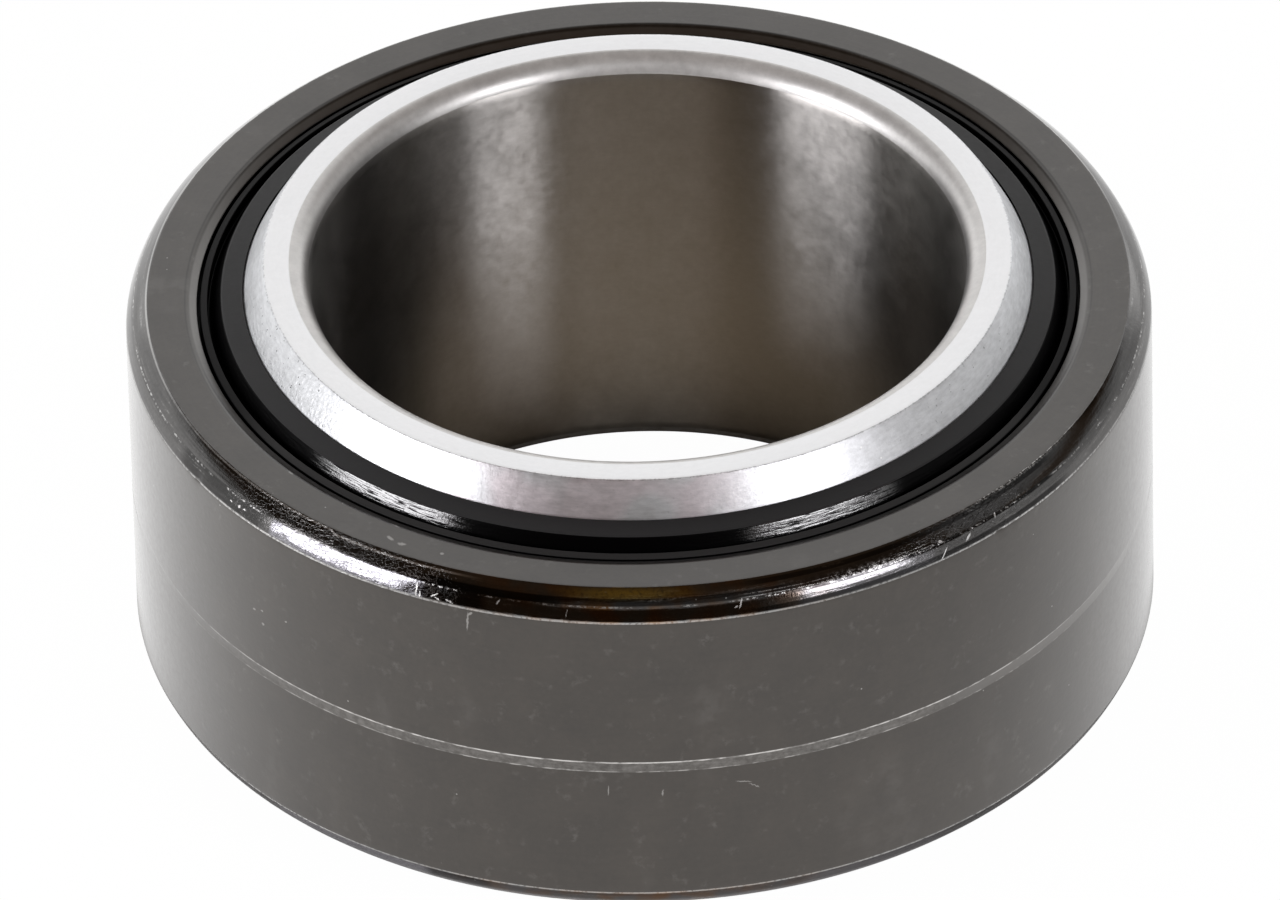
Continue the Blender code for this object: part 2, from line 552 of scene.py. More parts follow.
class Polar:
    """Places on a turned piece, as signals in one material."""

    def __init__(self, graph: Graph) -> None:
        """Adds the nodes that give a place.

        Args:
            graph: The material's Graph.
        """
        self.graph = graph
        place = graph.add("ShaderNodeTexCoord", None, None, "Object")
        self.point = graph.scaled(place, 1 / METRES_PER_MM)
        parts = graph.add("ShaderNodeSeparateXYZ", None, {0: self.point})
        x, y = parts.sibling("X"), parts.sibling("Y")
        self.height = parts.sibling("Z")
        self.level = abs(self.height)
        self.radius = (x * x + y * y) ** 0.5
        self.turn = x._math("ARCTAN2", x, y * -1.0) * (180 / math.pi)
        self.direction = graph.vector_math("NORMALIZE", graph.vector(x, y, 0.0))

    def lines(self, across: Signal, fineness: float, length: float, detail: float = 2.0) -> Signal:
        """Noise drawn out into lines that run round the bearing.

        Args:
            across: Radius or height, the direction in which lines follow one another.
            fineness: Lines in a millimetre.
            length: How many stretches a line has in a full turn.
            detail: Detail of the noise.

        Returns:
            Noise from 0 to 1.
        """
        around = self.graph.scaled(self.direction, length / math.tau)
        offset = self.graph.vector(0.0, 0.0, across * fineness)
        return self.graph.noise(self.graph.plus(around, offset), 1.0, detail, 0.6)

    def stripes(self, count: float, climb: float) -> Signal:
        """Noise drawn out into upright stripes, count of them in a turn."""
        around = self.graph.scaled(self.direction, count / math.tau)
        offset = self.graph.vector(0.0, 0.0, self.height * climb)
        return self.graph.noise(self.graph.plus(around, offset), 1.0, 2.0)

    def edge(self, corner: Corner) -> Signal:
        """Distance from an edge of the section, the same above and below the middle plane."""
        across, along = self.radius - corner.radius, self.level - abs(corner.height)
        return (across * across + along * along) ** 0.5


@dataclass(frozen=True)
class Mark:
    """A scratch, speck or smudge on a surface, as a slim ellipse.

    Attributes:
        turn: Place round the bearing, in degrees.
        across: Height or radius there.
        length: Its length.
        width: Its width.
        lean: Angle from the direction round the bearing, in degrees.
    """

    turn: float
    across: float
    length: float
    width: float
    lean: float = 0.0


def drawn_marks(
    polar: Polar, across: Signal, radius: float, marks: Iterable[Mark], rag: float = 0.05
) -> Signal:
    """Draws marks with slightly ragged outlines.

    Args:
        polar: Places in the material.
        across: Height or radius, as the marks give it.
        radius: Radius at which turns become lengths.
        marks: The marks.
        rag: How far their outlines wander.

    Returns:
        1 on a mark and 0 off it.
    """
    graph = polar.graph
    around = polar.turn * (radius * math.pi / 180)
    wander = (graph.noise(polar.point, 9.0, 1.0) - 0.5) * (2 * rag)
    place = graph.vector(around + wander, across + wander, 0.0)
    drawn: Signal | None = None
    for mark in marks:
        fitted = graph.add(
            "ShaderNodeMapping",
            {"vector_type": "TEXTURE"},
            {
                "Vector": place,
                "Location": (mark.turn * radius * math.pi / 180, mark.across, 0.0),
                "Rotation": (0.0, 0.0, math.radians(mark.lean)),
                "Scale": (mark.length / 2, mark.width / 2, 1.0),
            },
        )
        size = graph.vector_math("LENGTH", fitted, output="Value")
        mask = size.fall(0.5, 1.0)
        drawn = mask if drawn is None else drawn | mask
    return drawn


# Finishes


def new_material(name: str) -> tuple[bpy.types.Material, Graph]:
    """A material with an empty node tree."""
    material = bpy.data.materials.new(name)
    material.use_nodes = True
    return material, Graph(material.node_tree)


def shade(graph: Graph, constants: dict[str, Any], varying: dict[str, Signal]) -> None:
    """Ends a material in a Principled shader.

    Args:
        graph: The material's Graph.
        constants: Values set on the shader's own sockets.
        varying: Signals linked to its sockets.
    """
    shader = graph.add("ShaderNodeBsdfPrincipled", None, {**constants, **varying})
    graph.add("ShaderNodeOutputMaterial", None, {"Surface": shader})


@dataclass(frozen=True)
class SatinSteel:
    """Phosphated and oiled steel on the outer ring's faces and wall.

    Attributes:
        face: Colour of the faces.
        wall: Colour of the outer wall.
        worn: Colour of the metal in scratches, specks and smears, and of the painted sheen on the land.
        face_roughness: Roughness of the faces.
        wall_roughness: Roughness of the outer wall.
        oil: Roughness of the oil that lies over both.
        land: Radii between which the land beside the seal ends, and with it the land's painted sheen.
    """

    face: Colour = (0.0575, 0.051, 0.0455)
    wall: Colour = (0.0325, 0.0262, 0.0206)
    worn: Colour = (0.62, 0.60, 0.58)
    face_roughness: float = 0.36
    wall_roughness: float = 0.34
    oil: float = 0.20
    land: tuple[float, float] = (20.50, 20.62)

    def build(self, ring: "OuterRing") -> bpy.types.Material:
        """The finish, with the turned line, the marks where the ring has them, and a painted sheen on the
        land at the left and right.
        """
        material, graph = new_material("satin_dark_steel")
        polar = Polar(graph)
        face = polar.level.rise(ring.half_width - 0.30, ring.half_width - 0.20)
        cloud = graph.noise(polar.point, 0.45, 2.0)
        mottle = graph.noise(polar.point, 3.0, 3.0, 0.7)
        turned = polar.lines(polar.radius * face + polar.height, 6.0, 40.0, 1.0)
        upright = polar.stripes(48.0, 0.12)
        colour = graph.shaded(
            graph.mix(face, self.wall, self.face),
            0.32 + cloud * 0.46 + mottle * 0.46 + upright * 0.30 * (1.0 - face) + turned * 0.14,
        )
        # A darker line along the face's inner edge, beside the land's chamfer.
        inner_edge_darkening = polar.radius.near(ring.land_radius + ring.land_chamfer[0] + 0.03, 0.07) * face
        colour = graph.shaded(colour, 1.0 - inner_edge_darkening * 0.5)
        smears = self._smears(graph, polar, upright, mottle)
        # Painted sheen: the land beside the seal is lighter at the left and right.
        land = polar.radius.fall(*self.land) * face * abs(polar.turn).rise(30.0, 60.0) * 0.15
        light = self._line(polar, ring, mottle) | self._marks(polar, ring) | smears | land
        rough = self.wall_roughness + (self.face_roughness - self.wall_roughness) * face
        rough = rough + (mottle - 0.5) * 0.20 + light * 0.15
        relief = turned * 0.0016 + mottle * 0.0055
        shade(
            graph,
            {"Metallic": 1.0, "Coat Weight": 1.0, "Coat Roughness": self.oil, "Coat IOR": 1.5},
            {
                "Base Color": graph.mix(light, colour, self.worn),
                "Roughness": rough,
                "Normal": graph.bump(relief),
            },
        )
        return material

    @staticmethod
    def _line(polar: Polar, ring: "OuterRing", mottle: Signal) -> Signal:
        """The turned line: broken light lines along its two edges and a faint light between them."""
        half = ring.line_width / 2
        top, bottom = ring.line_height + half, ring.line_height - half
        broken = polar.lines(polar.height, 6.0, 260.0, 2.0)
        upper = polar.height.near(top, 0.065) * (0.22 + 0.80 * broken.rise(0.36, 0.60))
        lower = polar.height.near(bottom, 0.050) * (0.10 + 0.50 * broken.rise(0.42, 0.66))
        inside = abs(polar.height - ring.line_height).fall(half - 0.03, half + 0.05)
        between = inside * (0.03 + 0.09 * mottle.rise(0.25, 0.75) + 0.05 * broken.rise(0.4, 0.7))
        front = abs(polar.turn).fall(28.0, 70.0) * 0.85 + 0.15
        side = inside * polar.turn.within(40.0, 64.0, 14.0) * 0.11
        return ((upper | lower | between) * front | side) * ring.on_wall(polar)

    @staticmethod
    def _smears(graph: Graph, polar: Polar, upright: Signal, mottle: Signal) -> Signal:
        """Faint smears, dried drops and stray specks of dust."""
        patch = graph.noise(polar.point, 1.1, 2.0, 0.6)
        smears = patch.rise(0.56, 0.78) * mottle.rise(0.40, 0.65) * 0.06
        streaks = upright.rise(0.58, 0.80) * patch.rise(0.35, 0.60) * 0.035
        dust = graph.specks(polar.point, 0.8, 0.050, 0.08) * 0.45
        return smears | streaks | dust

    @staticmethod
    def _marks(polar: Polar, ring: "OuterRing") -> Signal:
        """The scratches and specks that have a place of their own."""
        wall = drawn_marks(polar, polar.height, radius=23.5, marks=ring.wall_marks) * ring.on_wall(polar)
        upper_face = polar.height.rise(ring.half_width - 0.05, ring.half_width - 0.02)
        face = drawn_marks(polar, polar.radius, radius=21.5, marks=ring.face_marks) * upper_face
        return wall * 0.30 | face * 0.35


@dataclass(frozen=True)
class GlossyEdge:
    """Oiled, burnished steel on the outer ring's chamfers and seal seats.

    Attributes:
        base: Colour of the burnished steel.
        amber_reflection: Its warmer colour in patches at the front, a painted reflection of the warm room.
        olive_reflection: Colour of the small olive patch at the front of the upper facet, a painted
            reflection.
        rubbed_highlight: Colour of the lower facet where rubbing has worn it, also a painted highlight
            where the soft boxes shine.
        worn: Colour of bare metal on edges, in scratches and chips, and of the painted highlights above
            the ridge and along the far rim.
        roughness: Roughness where nothing is worn.
        on_chamfer: Radii between which the marks of the chamfer begin.
    """

    base: Colour = (0.125, 0.122, 0.120)
    amber_reflection: Colour = (0.170, 0.090, 0.040)
    olive_reflection: Colour = (0.62, 0.51, 0.13)
    rubbed_highlight: Colour = (0.27, 0.265, 0.285)
    worn: Colour = (0.66, 0.65, 0.64)
    roughness: float = 0.10
    on_chamfer: tuple[float, float] = (22.5, 22.6)

    def build(self, ring: "OuterRing") -> bpy.types.Material:
        """The finish, streaked round the ring and worn bright along the edges, with painted highlights,
        reflections and shade on the chamfer.
        """
        material, graph = new_material("glossy_dark_steel")
        polar = Polar(graph)
        streaks = polar.lines(polar.height, 8.0, 60.0, 2.0)
        grain = graph.noise(polar.point, 6.0, 3.0, 0.7)
        patch = graph.noise(polar.point, 0.9, 1.0)
        cracks = self._cracks(graph, polar)
        # Painted reflection: a small olive patch at the front of the upper facet.
        olive_reflection = polar.turn.near(-2.0, 10.0) * polar.radius.near(22.70, 0.32)
        olive_reflection = olive_reflection * grain.rise(0.15, 0.55) * 0.95
        # Painted reflection: warm amber patches at the front, where the dark warm room is mirrored.
        front = polar.turn.near(-2.0, 32.0) * patch.rise(0.30, 0.70)
        lower = polar.level.within(ring.chamfer_foot + 0.10, ring.ridge.height + 0.02, 0.06)
        # Wear and painted highlight: the lower facet is brighter at the left and right, where the soft
        # boxes shine.
        sides = polar.turn.within(-46.0, -25.7, 0.6) | polar.turn.within(18.5, 33.0, 2.0) * 0.35
        rubbed_highlight = lower * sides
        colour = graph.mix(rubbed_highlight, graph.mix(front, self.base, self.amber_reflection), self.rubbed_highlight)
        colour = graph.shaded(colour, 0.45 + streaks * 0.6 + grain * 0.5)
        # Painted shade: the lower facet darkens just past the split, so that the left highlight ends
        # there, and the upper facet darkens just above the ridge at the front.
        stain_and_shade = 1.0 - polar.turn.within(-25.3, -19.0, 1.5) * lower * 0.65
        front_ridge_shade = polar.turn.within(-24.5, 15.0, 3.0) * polar.height.within(8.42, 8.62, 0.05) * 0.75
        # A darker band just below the rim at the right.
        under = polar.turn.within(14.0, 52.0, 4.0) * polar.height.within(8.80, 8.92, 0.03) * 0.60
        colour = graph.shaded(graph.mix(olive_reflection, colour, self.olive_reflection), (1.0 - cracks * 0.80) * stain_and_shade)
        # Painted shade: dark bands below the ridge and above the foot at the right, beside the right
        # highlight.
        gap = polar.height.within(8.30, 8.39, 0.03) | polar.height.within(7.76, 7.93, 0.06)
        gap = gap * polar.turn.within(15.0, 52.0, 5.0) * 0.72
        # Painted shade: the lower facet darkens before the left highlight starts.
        highlight_start_shade = polar.turn.within(-62.0, -49.0, 2.5) * lower * 0.5
        colour = graph.shaded(colour, (1.0 - front_ridge_shade) * (1.0 - under) * (1.0 - gap) * (1.0 - highlight_start_shade))
        edges = self._edges(graph, polar, ring, grain)
        light = edges | self._marks(graph, polar, ring, streaks, grain)
        rough = self.roughness + (grain - 0.5) * 0.08 + light * 0.22 + cracks * 0.15
        relief = streaks * 0.0050 + grain * 0.0035 - cracks * 0.006
        shade(
            graph,
            {"Metallic": 1.0},
            {
                "Base Color": graph.mix(light, colour, self.worn),
                "Roughness": rough,
                "Normal": graph.bump(relief),
            },
        )
        return material

    @staticmethod
    def _cracks(graph: Graph, polar: Polar) -> Signal:
        """Short fine scratches that cross one another, thickest to the left and right of the front."""
        bent = graph.noise(polar.point, 2.2, 2.0, 0.6)
        place = graph.vector(polar.turn * 0.40 + bent * 2.4, polar.height * 2.2 + bent * 1.2, 0.0)
        cells = graph.add(
            "ShaderNodeTexVoronoi",
            {"feature": "DISTANCE_TO_EDGE"},
            {"Vector": place, "Scale": 2.8, "Randomness": 1.0},
        )
        thickest = polar.turn.near(-38.0, 22.0) * 0.7 + polar.turn.near(40.0, 14.0) * 0.7
        return cells.fall(0.025, 0.070) * thickest

    @staticmethod
    def _edges(graph: Graph, polar: Polar, ring: "OuterRing", grain: Signal) -> Signal:
        """Bright metal along the chamfer's edges and fine lines, ragged and broken, with painted
        highlights: grainy glints above the ridge at the right and a light line along the far rim.
        """
        gate = graph.noise(polar.point, 1.1, 1.0)
        left, right = polar.turn.near(-47.0, 24.0), polar.turn.near(49.0, 15.0)
        jog = polar.turn.rise(-38.7, -38.0) * polar.turn.fall(-20.0, -16.0)
        across = polar.radius - (ring.rim.radius + 0.05) - jog * 0.09
        rim = abs(across).fall(0.02, 0.06) * (polar.height.rise(8.7, 8.8) * 0.75)
        rim = rim * polar.turn.within(-112.0, -24.0, 6.0) * grain.rise(0.10, 0.40)
        rim = rim * polar.turn.ranged(-68.0, -54.0, 0.5, 1.0)
        foot = polar.edge(ring.foot).fall(0.03, 0.085) * grain.rise(0.30, 0.55)
        foot = foot * (0.35 + 0.4 * left + 0.3 * right)
        ragged = polar.edge(ring.rim).fall(0.04, 0.16) * grain.rise(0.48, 0.56) * right * 0.8
        below = polar.edge(ring.second_line).fall(0.01, 0.05) * grain.rise(0.38, 0.54) * left * 0.40
        ridge = polar.edge(ring.ridge).fall(0.02, 0.06) * grain.rise(0.46, 0.60) * gate.rise(0.40, 0.55)
        # Painted highlight: grainy glints above the ridge at the right, where the right soft box shines.
        above = polar.height.rise(8.36, 8.40) * polar.height.fall(8.46, 8.74)
        above = above * polar.turn.near(25.5, 8.0)
        ridge_glints = above * grain.rise(0.44, 0.66) * 0.8
        # Painted highlight: a light line along the rim at the far side.
        far = polar.edge(ring.rim).fall(0.04, 0.10) * abs(polar.turn).rise(95.0, 125.0) * 0.7
        twin = polar.height.near(8.43, 0.030) | polar.height.near(8.54, 0.024)
        twin = twin * polar.turn.within(12.0, 33.0, 2.0) * grain.rise(0.34, 0.52) * 0.55
        return foot | rim | ragged | below | ridge * 0.7 | ridge_glints | far | twin

    def _marks(
        self, graph: Graph, polar: Polar, ring: "OuterRing", streaks: Signal, grain: Signal
    ) -> Signal:
        """Fine scratches and chips round the chamfer, and the knocks that have a place of their own."""
        upper = polar.height.rise(ring.chamfer_foot - 0.10, ring.chamfer_foot)
        drawn = drawn_marks(polar, polar.height, radius=23.3, marks=ring.chamfer_marks, rag=0.06) * upper
        fine = streaks.rise(0.60, 0.72) * grain.rise(0.40, 0.62) * 0.20
        chips = graph.specks(polar.point, 0.45, 0.050, 0.14) * 0.40
        return (drawn * 0.9 | fine | chips) * polar.radius.rise(*self.on_chamfer)


@dataclass(frozen=True)
class BrightSteel:
    """Ground steel of the inner ring.

    Attributes:
        name: The material's name.
        colour: Its colour.
        roughness: Its middle roughness.
        anisotropy: How far its grinding marks stretch highlights.
        grain: How the grinding marks lie.
        relief: Depth of the grinding marks.
        edge_tint: Its reflection at a grazing angle, where 1 is a full one.
        streak: How far the marks change its colour.
        blotch: How far clouds change its colour.
        pitted: Depth of its corroded places, or 0 for none; with them come painted glints where the right
            highlight fades.
        blush: Colour of a stained patch at the front, if it has one.
        worn_edge: An edge of the section along which it is chipped, if any.
        metallic: Share of metal in it.
        gloom: How strongly the dark room mirrored at its left and right is drawn, from 0 to 1.
    """

    name: str
    colour: Colour
    roughness: float
    anisotropy: float
    grain: Grain
    relief: float
    edge_tint: float = 1.0
    streak: float = 0.10
    blotch: float = 0.10
    pitted: float = 0.0
    blush: Colour | None = None
    worn_edge: Corner | None = None
    metallic: float = 1.0
    gloom: float = 0.0

    def build(self) -> bpy.types.Material:
        """The finish, with grinding marks that run round the ring."""
        material, graph = new_material(self.name)
        polar = Polar(graph)
        across = polar.radius if self.grain is Grain.ROUND_FACE else polar.height
        lines = polar.lines(across, 7.0, 200.0, 2.0)
        cloud = graph.noise(polar.point, 0.7, 2.0, 0.6)
        mottle = graph.noise(polar.point, 2.6, 3.0, 0.65)
        variation = 1.0 + (cloud - 0.5) * (2 * self.blotch) + (lines - 0.5) * (2 * self.streak)
        variation = variation + (mottle - 0.5) * (2 * self.blotch)
        rough = self.roughness + (cloud - 0.5) * 0.10 + (mottle - 0.5) * 0.14
        relief = lines * self.relief + mottle * (self.relief * 0.8)
        if self.pitted:
            worst = polar.turn.near(-66.0, 30.0) + polar.turn.near(60.0, 24.0) * 0.5 + 0.1
            relief = relief + graph.noise(polar.point, 4.5, 2.0, 0.6) * worst * self.pitted
            stretched = graph.plus(polar.point, graph.vector(0.0, 0.0, lines))
            pits = graph.specks(stretched, 0.34, 0.065, 0.50)
            # Painted glints: brighter specks where the right highlight fades.
            ball_glints = graph.specks(polar.point, 0.30, 0.055, 0.45) * polar.turn.within(31.0, 37.0, 3.0)
            variation = variation * (1.0 - pits * worst * 0.90) + ball_glints * 0.45
        if self.worn_edge:
            chips = polar.edge(self.worn_edge).fall(0.03, 0.16) * graph.noise(polar.point, 5.0, 2.0, 0.7)
            variation = variation * (1.0 - chips.rise(0.45, 0.60) * 0.22)
            relief = relief - chips * 0.010
        if self.gloom:
            variation = variation * (1.0 - self._darkness(polar))
        colour = self.colour
        if self.blush:
            # A pinkish stain in patches at the front.
            stain_and_shade = graph.noise(polar.point, 0.35, 1.0).rise(0.40, 0.60)
            front = stain_and_shade * polar.turn.within(-24.0, 6.0, 14.0)
            colour = graph.mix(front, colour, self.blush)
        constants = {"Metallic": self.metallic, "Specular Tint": (self.edge_tint,) * 3}
        if self.anisotropy:
            constants |= {"Anisotropic": self.anisotropy, "Anisotropic Rotation": 0.25}
        shade(
            graph,
            constants,
            {
                "Base Color": graph.shaded(colour, variation),
                "Roughness": rough,
                "Normal": graph.bump(relief),
            },
        )
        return material

    def _darkness(self, polar: Polar) -> Signal:
        """How much darker it is where the dark room is mirrored, at its left and right."""
        left = polar.turn.within(-134.0, -50.0, 10.0) * 0.42
        left = left + polar.turn.within(-124.0, -50.0, 14.0) * 0.30
        right = polar.turn.within(45.0, 112.0, 12.0) * 0.42
        right = right + polar.turn.within(45.0, 104.0, 14.0) * 0.30
        return (left + right) * polar.level.fall(10.35, 10.80) * self.gloom


@dataclass(frozen=True)
class BlackRubber:
    """Moulded rubber: matt on a seal's lip and rim, glossy where grease lies in its trough.

    Attributes:
        lip: Colour of the lip.
        trough: Colour of the trough.
        rim: Colour of the rim.
        dust: Colour of the specks of dust on the lip.
        grease: Refractive index that stands for the grease's strong shine.
    """

    lip: Colour = (0.014, 0.014, 0.015)
    trough: Colour = (0.0005, 0.0004, 0.0006)
    rim: Colour = (0.0140, 0.0135, 0.0138)
    dust: Colour = (0.5, 0.5, 0.5)
    grease: float = 2.25

    def build_lip(self) -> bpy.types.Material:
        """The matt finish."""
        material, graph = new_material("matt_rubber")
        polar = Polar(graph)
        mottle = graph.noise(polar.point, 4.0, 3.0, 0.65)
        specks = graph.specks(polar.point, 0.7, 0.05, 0.05) * 0.35
        colour = graph.mix(specks, graph.shaded(self.lip, 0.7 + mottle * 0.6), self.dust)
        shade(
            graph,
            {"Metallic": 0.0, "IOR": 1.5},
            {
                "Base Color": colour,
                "Roughness": 0.50 + mottle * 0.20,
                "Normal": graph.bump(mottle * 0.006),
            },
        )
        return material

    def build_trough(self, seal: "Seal") -> bpy.types.Material:
        """The trough, without shine but for the streaks where grease has gathered, and the matt rim beside
        it, which takes the trough's darker finish at the left and right as painted shade.
        """
        material, graph = new_material("greased_rubber")
        polar = Polar(graph)
        streaks = polar.lines(polar.radius * 2.0 - polar.level, 5.0, 110.0, 2.0)
        grain = graph.noise(polar.point, 8.0, 2.0, 0.7)
        trough_wall = seal.rim_radius - seal.rim_width
        in_trough = polar.radius.fall(trough_wall - 0.06, trough_wall)
        left, right = polar.turn.within(-44.0, -31.0, 9.0), polar.turn.within(19.0, 31.0, 8.0)
        patches = (left | right) * 1.4 * streaks.rise(0.30, 0.58) * grain.rise(0.15, 0.50)
        greased = patches.rise(0.0, 1.0) * in_trough * 0.98 + 0.02
        bump = graph.bump(streaks * 0.014 + grain * 0.006)
        wet, dry, matt = (
            graph.add("ShaderNodeBsdfPrincipled", None, values)
            for values in (
                {"Base Color": self.trough, "IOR": self.grease, "Roughness": 0.18, "Normal": bump},
                {"Base Color": self.trough, "IOR": 1.10, "Roughness": 0.42, "Normal": bump},
                {"Base Color": self.rim, "Roughness": 0.6},
            )
        )
        rim_top = seal.half_width - seal.rim_drop
        # Painted shade: the rim is matt at the front and takes the trough's darker finish at the left and
        # right.
        on_rim = (1.0 - in_trough) * polar.level.rise(rim_top - 0.16, rim_top - 0.10)
        on_rim = on_rim * (0.35 + 0.65 * polar.turn.within(-54.0, 54.0, 14.0))
        inner = graph.add("ShaderNodeMixShader", None, {0: greased, 1: dry, 2: wet})
        surface = graph.add("ShaderNodeMixShader", None, {0: on_rim, 1: inner, 2: matt})
        graph.add("ShaderNodeOutputMaterial", None, {"Surface": surface})
        return material


@dataclass(frozen=True)
class SlidingLayer:
    """The bonded sliding layer, a dark woven film."""

    colour: Colour = (0.055, 0.040, 0.020)
    thread: Colour = (0.14, 0.10, 0.05)

    def build(self) -> bpy.types.Material:
        """The finish, a fine weave."""
        material, graph = new_material("sliding_layer")
        polar = Polar(graph)
        weave = polar.lines(polar.height, 3.0, 400.0) * polar.lines(polar.height, 6.0, 120.0)
        colour = graph.mix(weave, self.colour, self.thread)
        shade(graph, {"Metallic": 0.0}, {"Base Color": colour, "Roughness": 0.5 + weave * 0.4})
        return material


# Pieces


@dataclass
class OuterRing:
    """The dark outer ring, parted at one place and lined inside.

    Attributes:
        break_radial, break_axial: Size of the chamfer's upper facet.
        crown: How far each facet's middle bulges.
        land_chamfer: Radial and axial size of the chamfer beside the seal.
        wall_from: Radii between which the outer wall's finish begins.
        face_margins: How far the face's finish goes down, and how far inside the rim it ends.
        wall_margins: How far inside the outer wall its finish goes, and how far below the foot it ends.
        wear: Reach, depth and grain of the uneven wear on the chamfer's edges.
    """

    outside_radius: float
    half_width: float
    raceway_radius: float = 20.96
    chamfer_radial: float = 1.0
    chamfer_axial: float = 1.31
    break_radial: float = 0.67
    break_axial: float = 0.64
    crown: float = 0.014
    land_radius: float = 20.20
    land_depth: float = 1.1
    land_chamfer: tuple[float, float] = (0.53, 0.26)
    groove_width: float = 1.7
    groove_depth: float = 0.92
    line_height: float = -0.47
    line_width: float = 0.5
    line_depth: float = 0.008
    split_turn: float = -25.31
    split_width: float = 0.0008
    wall_from: tuple[float, float] = (23.40, 23.43)
    face_margins: tuple[float, float] = (0.42, 0.03)
    wall_margins: tuple[float, float] = (0.08, 0.04)
    wear: tuple[float, float, float] = (0.12, 0.025, 0.35)
    wall_marks: tuple[Mark, ...] = (
        Mark(-20.0, 7.0, 1.3, 0.12, 86.0),
        Mark(-19.7, 7.45, 0.4, 0.16, 40.0),
        Mark(-49.1, 2.86, 0.22, 0.14),
        Mark(-47.8, 3.05, 0.20, 0.12),
        Mark(-47.7, 2.32, 0.22, 0.18),
        Mark(-44.0, 3.25, 0.16, 0.12),
        Mark(1.4, -1.95, 0.45, 0.10, 84.0),
        Mark(-4.6, -1.8, 0.7, 0.08, 88.0),
        Mark(10.4, -1.7, 0.9, 0.07, -12.0),
        Mark(11.6, -2.0, 0.7, 0.07, -34.0),
    )
    face_marks: tuple[Mark, ...] = (
        Mark(-24.9, 21.65, 0.22, 0.22),
        Mark(-31.9, 21.66, 0.55, 0.22, 20.0),
        Mark(-30.1, 21.78, 0.50, 0.25, -15.0),
        Mark(-32.8, 20.72, 0.70, 0.12, 10.0),
        Mark(-50.1, 20.75, 0.40, 0.14),
    )
    chamfer_marks: tuple[Mark, ...] = (
        Mark(-26.2, 8.00, 0.75, 0.12, 90.0),
        Mark(-25.7, 7.88, 0.40, 0.09, 86.0),
        Mark(-24.0, 7.98, 0.55, 0.10, 28.0),
        Mark(-23.6, 7.86, 0.40, 0.08, -12.0),
        Mark(-22.2, 7.86, 0.50, 0.10, -15.0),
        Mark(-53.0, 8.04, 0.22, 0.12),
        Mark(-51.6, 8.04, 0.20, 0.13),
        Mark(-50.7, 8.07, 0.18, 0.12),
        Mark(-16.6, 8.20, 0.35, 0.12, 60.0),
        Mark(-8.8, 8.05, 0.50, 0.05, 80.0),
        Mark(10.6, 8.22, 0.60, 0.09, 66.0),
        Mark(10.1, 8.12, 0.35, 0.07, 20.0),
        Mark(35.3, 8.42, 0.30, 0.12),
        Mark(35.3, 7.90, 0.90, 0.06, 42.0),
        Mark(38.9, 8.10, 0.50, 0.12, 30.0),
        Mark(43.2, 8.34, 0.30, 0.12, 60.0),
    )
    nicks: tuple[Nick, ...] = (
        Nick(-59.5, 23.45, 7.80, 0.09, 0.55),
        Nick(-44.3, 23.45, 7.80, 0.04, 0.40),
        Nick(-26.1, 23.46, 7.75, 0.04, 0.35),
        Nick(43.2, 23.49, 7.70, 0.07, 0.50),
        Nick(45.2, 23.46, 7.78, 0.06, 0.45),
        Nick(152.0, 23.48, 7.72, 0.08, 0.60),
        Nick(-128.0, 23.48, -7.72, 0.08, 0.60),
    )
    satin: SatinSteel = field(default_factory=SatinSteel)
    glossy: GlossyEdge = field(default_factory=GlossyEdge)

    @property
    def chamfer_foot(self) -> float:
        """Height where the outer wall's chamfer begins."""
        return self.half_width - self.chamfer_axial

    @property
    def rim(self) -> Corner:
        """Edge between the face and the chamfer."""
        return Corner(self.outside_radius - self.chamfer_radial, self.half_width, 0.04)

    @property
    def ridge(self) -> Corner:
        """Edge where the chamfer's two facets meet."""
        return Corner(self.rim.radius + self.break_radial, self.half_width - self.break_axial, 0.06)

    @property
    def second_line(self) -> Corner:
        """A fine scratch line a little below the rim."""
        return Corner(self.rim.radius + 0.20, self.half_width - 0.19)

    @property
    def foot(self) -> Corner:
        """Edge between the chamfer and the outer wall."""
        return Corner(self.outside_radius, self.chamfer_foot, 0.07, 4)

    def on_wall(self, polar: Polar) -> Signal:
        """1 on the outer wall and 0 inside it."""
        return polar.radius.rise(*self.wall_from)

